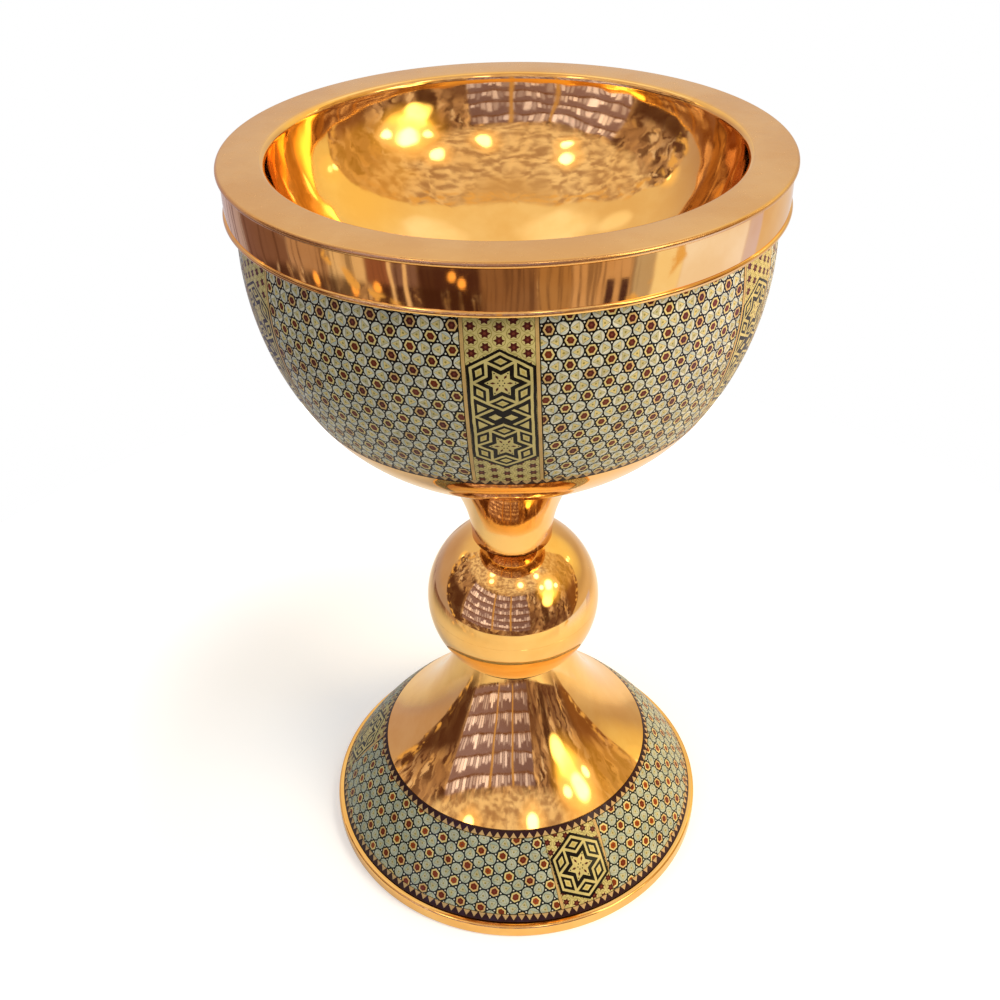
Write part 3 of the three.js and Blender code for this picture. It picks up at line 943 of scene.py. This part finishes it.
def add_neck():
    neck_bottom = knop_height + off_knop(NECK_BOTTOM_RADIUS)
    waist = (NECK_BOTTOM_RADIUS + NECK_WAIST_SWELL, (neck_top + neck_bottom) / 2)
    outside = bezier((NECK_TOP_RADIUS, neck_top), waist, (NECK_BOTTOM_RADIUS, neck_bottom), CURVE_STEPS)
    inside = outside - np.array([NECK_WALL, 0])
    inside[-1][1] = knop_height + off_knop(NECK_BOTTOM_RADIUS - NECK_WALL)
    section = [*outside, *inside[::-1]]
    fit(turned("trumpet_neck", section, STEM_RING_STEPS), polished, "copper", "neck")


def add_knop():
    inner = knop_radius - KNOP_WALL
    centre = (0, knop_height)
    seam = degrees(asin(KNOP_SEAM / 2 / knop_radius))
    softened = degrees(KNOP_SEAM_LIP / knop_radius)
    for name, node, neighbour, side in (
        ("knop_upper_shell", "knop_upper_half", NECK_BOTTOM_RADIUS, 1),
        ("knop_lower_shell", "knop_lower_half", CONE_TOP_RADIUS, -1),
    ):
        hole = neighbour - KNOP_HOLE_INSET
        hole_out, hole_in = (degrees(acos(hole / radius)) for radius in (knop_radius, inner))
        outside = arc(centre, knop_radius, side * hole_out, side * (seam + softened), steps=64)
        lip = (knop_radius - KNOP_SEAM_LIP, knop_height + side * KNOP_SEAM / 2)
        inside = arc(centre, inner, side * seam, side * hole_in, steps=64)
        section = [*outside, lip, *inside]
        fit(turned(name, section, STEM_RING_STEPS), polished, "copper", node)


cone_bottom = (FOOT_KHATAM_TOP_RADIUS, foot_khatam_top)
cone_face = bowed((CONE_TOP_RADIUS, cone_top), cone_bottom, -CONE_HOLLOW, steps=56)
foot_bottom = (FOOT_KHATAM_BOTTOM_RADIUS, foot_khatam_bottom)
foot_skin = Skin(bowed(cone_bottom, foot_bottom, FOOT_KHATAM_CROWN, CURVE_STEPS))


def above(outline, height):
    """The part of a falling outline that lies above a height."""
    inside = outline[outline[:, 1] > height]
    beyond = outline[len(inside)] if len(inside) < len(outline) else outline[-1]
    last = inside[-1]
    share = (last[1] - height) / (last[1] - beyond[1]) if beyond[1] < height else 0
    return np.array([*inside, last + (beyond - last) * share])


def add_foot_shell():
    seat = above(offset(foot_skin.outline, -skin_depth), foot_khatam_bottom)
    seat_inside = above(offset(foot_skin.outline, -skin_depth - FOOT_WALL), foot_khatam_bottom)
    inside = cone_face - np.array([FOOT_WALL, 0])
    inside[0][1] = knop_height - off_knop(CONE_TOP_RADIUS - FOOT_WALL)
    section = [*cone_face, *seat, *seat_inside[::-1], *inside[:-1][::-1]]
    fit(turned("spun_cone", section), polished, "copper", "foot_shell")


def add_foot_rim():
    inner = foot_rim_radius - FOOT_RIM_WIDTH
    corner = foot_rim_radius - FOOT_RIM_ROUNDING
    upper = foot_rim_height - FOOT_RIM_ROUNDING
    section = [
        (inner, FOOT_RIM_CHAMFER),
        (inner + FOOT_RIM_CHAMFER, 0),
        *arc((corner, FOOT_RIM_ROUNDING), FOOT_RIM_ROUNDING, -90, 0, steps=10),
        *arc((corner, upper), FOOT_RIM_ROUNDING, 0, 90, steps=10),
        (inner + FOOT_RIM_CHAMFER, foot_rim_height),
        (inner, foot_rim_height - FOOT_RIM_CHAMFER),
    ]
    fit(turned("foot_ring", section), polished, "copper", "foot_rim")


def add_foot_khatam():
    sheet_start = FOOT_BORDER_WIDTH + GAP
    sheet_end = foot_skin.length - FOOT_BORDER_WIDTH - GAP
    widening = (FOOT_KHATAM_BOTTOM_RADIUS - FOOT_KHATAM_TOP_RADIUS) / foot_skin.length
    apex_reach = FOOT_KHATAM_TOP_RADIUS / widening
    middle_reach = apex_reach + foot_skin.length / 2
    tilt = radians(MEDALLION_TILT)

    def middle_line(number, _):
        return radians(MEDALLION_AZIMUTH) + number * tau / MEDALLIONS

    def medallion_place(number, azimuth, reach):
        """The place on the cone's sheet laid flat, about the middle of a medallion."""
        turn = (azimuth - middle_line(number, reach)) * widening - tilt
        x = (apex_reach + reach) * sin(turn) + middle_reach * sin(tilt)
        return x, (apex_reach + reach) * cos(turn) - middle_reach * cos(tilt)

    def field_place(number, azimuth, reach):
        x, y = medallion_place(number + 1, azimuth, reach)
        return x - FOOT_FIELD_START[0], y - FOOT_FIELD_START[1]

    lay_sheets(
        MEDALLIONS, MEDALLION_WIDTH, foot_skin, sheet_start, sheet_end, middle_line,
        ("medallion", "foot_khatam_medallion", "khatam_strip", medallion_material, medallion_place),
        ("foot_flower_field", "foot_khatam_field", "khatam_field", foot_field_material, field_place),
    )
    upper = edging("foot_upper_edging", foot_skin, GAP, FOOT_BORDER_WIDTH)
    fit(upper, edging_up_material, "khatam_border", "foot_khatam_upper_border")
    lower = edging("foot_lower_edging", foot_skin, sheet_end + GAP, foot_skin.length - GAP)
    fit(lower, edging_down_material, "khatam_border", "foot_khatam_lower_border")


def add_rod():
    low, high = bottom_of("tie_rod"), top_of("tie_rod")
    lower_thread, upper_thread = low + THREADED_LENGTH, high - THREADED_LENGTH

    def thread(azimuth, radius, height):
        if radius < ROD_RADIUS or lower_thread < height < upper_thread:
            return radius
        turn = (height / THREAD_PITCH - azimuth / tau) % 1
        return radius - THREAD_DEPTH * abs(2 * turn - 1)

    end = ROD_RADIUS - ROD_CHAMFER
    heights = [
        *np.arange(low + ROD_CHAMFER, lower_thread, THREAD_STEP), lower_thread + THREAD_RUN_OUT,
        upper_thread - THREAD_RUN_OUT, *np.arange(upper_thread, high - ROD_CHAMFER, THREAD_STEP),
    ]
    section = [(0, low), (end, low), *((ROD_RADIUS, z) for z in heights), (end, high), (0, high)]
    rod = turned("threaded_tie_rod", section, steps=32, sharp_angle=60, shape=thread)
    fit(rod, steel, "steel", "tie_rod")


def add_nut(name, node):
    low, high = bottom_of(node), top_of(node)
    flat = NUT_ACROSS_FLATS / 2

    def hexagon(azimuth, radius, height):
        if radius < flat:
            return radius
        off = (azimuth + pi / 2) % (pi / 3)
        from_end = min(height - low, high - height)
        return min(flat / cos(off - pi / 6), flat * NUT_FACE_SHARE + from_end * sqrt(3))

    chamfer = np.linspace(0, NUT_CHAMFER, NUT_CHAMFER_STEPS + 1)
    mouth = bore_radius + NUT_BORE_CHAMFER
    section = [
        (bore_radius, high - NUT_BORE_CHAMFER), (bore_radius, low + NUT_BORE_CHAMFER), (mouth, low),
        *((flat, low + z) for z in chamfer), *((flat, high - z) for z in chamfer[::-1]), (mouth, high),
    ]
    nut = turned(name, section, STEEL_RING_STEPS, sharp_angle=25, shape=hexagon)
    fit(nut, steel, "steel", node)


def plate(name, node, outer_low, outer_high, chamfer, steps):
    """A flat ring round the rod with chamfered edges, whose side may lean."""
    low, high = bottom_of(node), top_of(node)
    section = [
        (bore_radius, low + chamfer), (bore_radius + chamfer, low),
        (outer_low - chamfer, low), (outer_low, low + chamfer),
        (outer_high, high - chamfer), (outer_high - chamfer, high),
        (bore_radius + chamfer, high), (bore_radius, high - chamfer),
    ]
    fit(turned(name, section, steps), steel, "steel", node)


def add_steel_parts():
    add_rod()
    add_nut("nut_in_bowl", "bowl_nut")
    add_nut("nut_in_foot", "foot_nut")
    washer_radius = radius_of("bowl_washer")
    plate(
        "washer_in_bowl", "bowl_washer", washer_radius, washer_radius, WASHER_CHAMFER, STEEL_RING_STEPS,
    )
    disc = "foot_clamp_disc"
    outer_low, outer_high = (
        float(np.interp(z, cone_face[::-1, 1], cone_face[::-1, 0])) - FOOT_WALL - GAP
        for z in (bottom_of(disc) + DISC_CHAMFER, top_of(disc) - DISC_CHAMFER)
    )
    plate("clamp_disc_in_foot", disc, outer_low, outer_high, DISC_CHAMFER, steps=144)


add_inner_bowl()
add_rim_band()
add_outer_bowl()
add_bowl_khatam()
add_neck()
add_knop()
add_foot_shell()
add_foot_rim()
add_foot_khatam()
add_steel_parts()


# Stage, light and camera. Places in the mirrored room are azimuths and elevations in degrees

WHITE = (1, 1, 1)
TABLE_RADIUS = 375
TABLE_DROP = 0.2
TABLE_STEPS = 128
TABLE_PLAIN = (150, 335)
TABLE_FADE = (170, 370)
TABLE_FRONT = (-260, -90)
LAMP_AIM = 150

# The border between shop and studio, with its terms in a direction's height and in the height squared
BORDER = 0.19
BORDER_RISE = 0.823
BORDER_BEND = 0.971

# Azimuth, elevation and radius
STUDIO_WINDOWS = ((-143, 65, 9), (-133, 48, 5), (145, 56, 8))
SHOP_LAMPS = (
    (62, 32, 5.5), (50, 35, 2.6), (71, 25, 2.4), (53, 50, 3), (16, 48, 3.4),
    (-41, 47, 2.8), (-48, 55, 3.2),
)
# Azimuth and elevation
STUDIO_LAMPS = ((117, 18), (113, 20), (-113, 27))
GLOW_CORES = ((61, 31), (55, 24), (50, 17))
COUNTER_LAMPS = ((-16, -24), (-20, -22), (-80, -27), (-62, -28), (-51, -27))
# First and last azimuth, and colour
COUNTERS = (
    (-126, -93, (0.22, 0.13, 0.15)),
    (-93, -72, (0.48, 0.34, 0.36)),
    (-72, -55, (0.8, 0.7, 0.75)),
    (-55, -44, (0.3, 0.14, 0.14)),
    (-44, -33, (0.24, 0.16, 0.24)),
    (-33, -9, (0.08, 0.035, 0.04)),
    (-9, 13, (0.28, 0.17, 0.15)),
    (13, 26, (0.44, 0.28, 0.2)),
    (26, 50, (0.66, 0.47, 0.42)),
    (50, 59, (0.56, 0.52, 0.62)),
    (59, 72, (1.02, 1.04, 1.15)),
    (72, 108, (0.98, 1.06, 1.7)),
    (108, 118, (0.74, 0.72, 1.3)),
)
COUNTER_TOP = -20
COUNTER_POSTS = (-44, -38)
COUNTER_LEGS = (41, 47)
SHELF_EXTENT = ((-65, 21), (-12, 34))
SHELF_PITCH = 9.2
SHELF_BOARD = 0.12
SHELF_POSTS = (-25, -2)
GOODS_PITCH = 3.1


def ray_kind(tree, kind):
    return Number(add_node(tree, "LightPath", {}).outputs[kind])


def add_floor():
    """A round white table. The camera sees it fade into plain white, and metal sees it fade towards
    its edge at the sides and the back."""
    angles = np.linspace(0, tau, TABLE_STEPS, endpoint=False)
    rim = [(TABLE_RADIUS * cos(a), TABLE_RADIUS * sin(a), -TABLE_DROP) for a in angles]
    mesh = bpy.data.meshes.new("floor")
    mesh.from_pydata([Vector(p) * MM for p in rim], [], [list(range(len(rim)))])
    floor = placed("floor", mesh)
    material, tree, shader = new_material("white_floor")
    mesh.materials.append(material)
    feed(shader, {"Base Color": (0.8, 0.8, 0.8), "Roughness": 0.9, "Specular IOR Level": 0})
    x, y, _ = split(object_place(tree))
    out = distance(x, y)
    to_metal = ray_kind(tree, "Is Glossy Ray")
    glow = chosen(ray_kind(tree, "Is Camera Ray"), out.ramp(*TABLE_PLAIN, 0.35, 1), to_metal * 0.1)
    emission = add_node(tree, "Emission", {"Color": WHITE, "Strength": glow})
    lit = add_node(tree, "AddShader", {0: shader.outputs[0], 1: emission.outputs[0]})
    clear = add_node(tree, "BsdfTransparent", {})
    fading = to_metal * (out.ramp(*TABLE_FADE) * y.ramp(*TABLE_FRONT))
    faded = add_node(tree, "MixShader", {0: fading, 1: lit.outputs[0], 2: clear.outputs[0]})
    put(tree.nodes["Material Output"].inputs["Surface"], faded.outputs[0])


def within(value, low, high, soft=0.8):
    """1 where a number lies between low and high, with soft ends."""
    return value.ramp(low - soft, low + soft) * value.ramp(high - soft, high + soft, 1, 0)


class View:
    """The direction that a mirrored ray leaves in, also as azimuth and elevation in degrees."""

    def __init__(self, tree):
        self.tree = tree
        self.x, self.y, self.z = split(add_node(tree, "TexCoord", {}).outputs["Generated"])
        self.azimuth = self.x.arctangent(0 - self.y) * degrees(1)
        self.elevation = self.z.arcsine() * degrees(1)

    def column(self, middle, half_width, soft):
        return within(self.azimuth, middle - half_width, middle + half_width, soft)

    def patch(self, azimuths, elevations, soft=0.8):
        return within(self.azimuth, *azimuths, soft) * within(self.elevation, *elevations, soft)

    def spot(self, azimuth, elevation, inner, outer):
        """1 within inner degrees of a direction, falling to 0 at outer degrees from it."""
        a, e = radians(azimuth), radians(elevation)
        toward = (sin(a) * cos(e), -cos(a) * cos(e), sin(e))
        along = self.x * toward[0] + self.y * toward[1] + self.z * toward[2]
        return along.ramp(cos(radians(outer)), cos(radians(inner)))

    def clutter(self, wide, tall, detail=3):
        """Random values that vary over some degrees of azimuth and of elevation."""
        place = vector(self.azimuth / wide, self.elevation / tall)
        return noise(place, 1, detail)[0]

    def luck(self, wide, tall):
        """Two random numbers for each cell of a grid in azimuth and elevation."""
        cell = vector(self.azimuth.nearest(wide), (self.elevation / tall).floor())
        node = add_node(self.tree, "TexWhiteNoise", {"Vector": cell})
        return split(node.outputs["Color"])[:2]


def across(view, left, middle, right):
    """A colour that changes from left to right."""
    tone = view.x.ramp(-0.75, -0.05).over(left, middle)
    return view.x.ramp(0.1, 0.8).over(tone, right)


def backdrop(view):
    """A pale studio, bluish to the left, warm to the right and brighter higher up."""
    low = across(view, (0.56, 0.45, 0.5), (0.76, 0.68, 0.64), (0.62, 0.5, 0.4))
    high = across(view, (0.85, 0.75, 0.66), (0.95, 0.86, 0.74), (1.02, 0.9, 0.6))
    table = across(view, (0.48, 0.42, 0.58), (0.82, 0.76, 0.76), (0.8, 0.67, 0.58))
    lamps = []
    for place in STUDIO_LAMPS:
        lamps.append((view.spot(*place, 1, 8) * 0.7, (1.3, 1, 0.5)))
        lamps.append((view.spot(*place, 1, 2.4), (4, 3.6, 2.8)))
    return painted(
        low,
        (view.elevation.ramp(8, 38), high),
        *((view.spot(*place, r * 0.6, r * 1.5), (1.15, 1.15, 1.2)) for *place, r in STUDIO_WINDOWS),
        (view.spot(118, 24, 8, 30) * 0.8, (1.1, 0.95, 0.5)),
        *lamps,
        (view.z.ramp(-0.25, -0.05, 1, 0), table),
    )


def shelves(view):
    """Three lit units of shelves, crowded with pale things, to the left of the middle: a layer."""
    lit = view.azimuth.ramp(-50, 20, 1, 0.55)
    bend = (view.clutter(10, 8) - 0.5) * 2.5
    level = (view.elevation + bend) / SHELF_PITCH
    up = level - level.floor()
    height, tone = view.luck(GOODS_PITCH, SHELF_PITCH)
    off = abs(view.azimuth.off_nearest(GOODS_PITCH))
    goods = (up < height * 0.5 + 0.35) * (off < tone * 0.6 + 0.85) * (up > SHELF_BOARD)
    pale = (tone.ramp(0, 1, 0.3) * lit).over((0.16, 0.1, 0.2), (1.4, 1.45, 2.9))
    unit = goods.over(lit.over((0.13, 0.08, 0.12), (0.3, 0.23, 0.46)), pale)
    unit = (up < SHELF_BOARD).over(unit, (0.2, 0.1, 0.07))
    for post in SHELF_POSTS:
        unit = view.column(post, 1.1, 0.3).over(unit, (0.62, 0.42, 0.25))
    return view.patch(*SHELF_EXTENT), unit


def crowd(view, wide, tall, brightest):
    """A jumble of small things from almost black to bright, as a lit shop shows in metal."""
    shift = view.clutter(7, 6) - 0.5
    place = vector((view.azimuth + shift * 14) / wide, (view.elevation + shift * 9) / tall)
    cells = add_node(view.tree, "TexVoronoi", {"Vector": place, "Scale": 1})
    tone, warmth, _ = split(cells.outputs["Color"])
    amber = (brightest, brightest * 0.72, brightest * 0.5)
    bright = warmth.over(amber, (brightest, brightest * 0.9, brightest * 1.1))
    mid = tone.ramp(0, 0.65).over((0.11, 0.055, 0.05), (0.5, 0.35, 0.33))
    return tone.ramp(0.65, 0.95).over(mid, bright)


def ceiling(view):
    """Pale beams overhead, and a brown patch right above."""
    above = view.z + 0.3
    place = vector(view.x / above * 3.4, view.y / above * 5.5)
    beams, _ = noise(place, 3.2, 6, 0.65)
    colour = beams.ramp(0.42, 0.58).over((0.48, 0.35, 0.33), (0.98, 0.88, 0.88))
    return view.elevation.ramp(68, 80, 0, 0.8).over(colour, (0.68, 0.53, 0.42))


def room(view):
    """A brown shop in front, with shelves, a golden glow to the right and a lamplit ceiling."""
    dark = view.clutter(16, 30, 2).ramp(0.42, 0.6) * view.elevation.ramp(8, 24, 0.75, 0.25)
    wall = view.patch((-102, -67), (-19, 13), 3)
    wall = wall.high(within(view.azimuth, 76, 112, 3) * view.elevation.ramp(3, 10, 1, 0))
    gold = view.elevation.ramp(6, 16).over((0.42, 0.2, 0.08), (0.85, 0.56, 0.14))
    lamps = []
    for *place, radius in SHOP_LAMPS:
        lamps.append((view.spot(*place, radius * 0.6, radius * 3.2) * 0.7, (1.3, 1, 0.7)))
        lamps.append((view.spot(*place, radius * 0.7, radius * 1.3), (5, 4.6, 4)))
    return painted(
        crowd(view, 2.2, 6, 0.85),
        (dark, (0.13, 0.06, 0.06)),
        (wall * 0.92, (0.09, 0.04, 0.035)),
        shelves(view),
        (view.patch((39, 47), (-10, 30), 1.5) * 0.85, (0.08, 0.035, 0.03)),
        (view.elevation.ramp(33, 40), ceiling(view)),
        (view.azimuth.ramp(70, 84) * view.elevation.ramp(50, 60, 0.5, 0), gold),
        (view.spot(60, 28, 5, 24) * 0.75, (1, 0.68, 0.17)),
        (view.spot(58, 28, 4, 16) * 0.9, (2.8, 2.2, 0.7)),
        *((view.spot(*place, 3, 9) * 0.9, (5, 4.4, 2.4)) for place in GLOW_CORES),
        *lamps,
    )


def counters(view, colour):
    """What stands in front below eye level: counters, posts and small lamps."""
    low = view.elevation.ramp(COUNTER_TOP, COUNTER_TOP + 1.5, 1, 0)
    streaks = view.clutter(1.6, 40).ramp(0.5, 0.62) * view.azimuth.ramp(40, 60, 0.6, 0)
    under = view.elevation.ramp(-27, -24.5, 1, 0) * within(view.azimuth, -120, -9, 3)
    lit = view.clutter(5, 40).ramp(0.5, 0.68)
    sparks = lit.over((0.06, 0.025, 0.025), crowd(view, 1.4, 2.4, 0.9))
    return painted(
        colour,
        *((low * within(view.azimuth, start, end, 1.2), tone) for start, end, tone in COUNTERS),
        (low * streaks, (0.1, 0.05, 0.05)),
        (under * 0.85, sparks),
        *((view.patch((a - 1.6, a + 1.6), (-40, -24.5), 0.5), (0.08, 0.04, 0.06)) for a in COUNTER_LEGS),
        *((low * view.column(a, 0.8, 0.4), (0.9, 0.75, 0.8)) for a in COUNTER_POSTS),
        *((view.spot(*place, 0.8, 2), (1.5, 0.8, 0.3)) for place in COUNTER_LAMPS),
    )


def set_world():
    """White to the camera, soft white to matt surfaces, and to metal a shop before a pale studio."""
    world = bpy.data.worlds.new("studio")
    bpy.context.scene.world = world
    world.use_nodes = True
    world.cycles.sampling_method = "NONE"  # the lamps are sampled, and the painted world needn't be
    tree = world.node_tree
    view = View(tree)
    wobble = view.clutter(11, 9, 4) - 0.5
    inside = BORDER + view.z * BORDER_RISE - view.z * view.z * BORDER_BEND - view.y + wobble * 0.1
    colour = counters(view, inside.ramp(-0.01, 0.02).over(backdrop(view), room(view)))
    broken = within(inside, 0, 0.12, 0.03) * view.clutter(6, 5, 4).ramp(0.5, 0.56)
    colour = broken.over(colour, (0.85, 0.6, 0.32))
    colour = ray_kind(tree, "Is Glossy Ray").over((0.46, 0.455, 0.44), colour)
    colour = ray_kind(tree, "Is Camera Ray").over(colour, WHITE)
    put(tree.nodes["Background"].inputs["Color"], colour)



def add_lamp(name, place, size, watts, colour):
    light = bpy.data.lights.new(name, "AREA")
    light.size = size * MM
    light.energy = watts
    light.color = colour
    lamp = placed(name, light)
    lamp.location = Vector(place) * MM
    aim = Vector((0, 0, LAMP_AIM)) * MM - lamp.location
    lamp.rotation_euler = aim.to_track_quat("-Z", "Y").to_euler()
    lamp.visible_glossy = False


def turn(angle, axis):
    return Matrix.Rotation(radians(angle), 4, axis)


def place_camera():
    camera = bpy.data.cameras.new("camera")
    camera.lens = CAMERA_LENS
    camera.shift_y = CAMERA_SHIFT_UP
    holder = placed("camera", camera)
    stand = Matrix.Translation(Vector((0, -CAMERA_OUT, CAMERA_HEIGHT)) * MM)
    aim = turn(CAMERA_YAW, "Z") @ turn(90 - CAMERA_PITCH, "X") @ turn(CAMERA_ROLL, "Z")
    holder.matrix_world = turn(CAMERA_AZIMUTH, "Z") @ stand @ aim
    bpy.context.scene.camera = holder


add_floor()
set_world()
add_lamp("key", (850, -500, 900), 700, 14, (1, 0.91, 0.76))
add_lamp("window", (1000, 80, 380), 500, 6, (1, 0.62, 0.14))
add_lamp("fill", (-900, -300, 700), 800, 2, (0.95, 0.97, 1))
place_camera()
bpy.context.scene.view_settings.view_transform = "Standard"
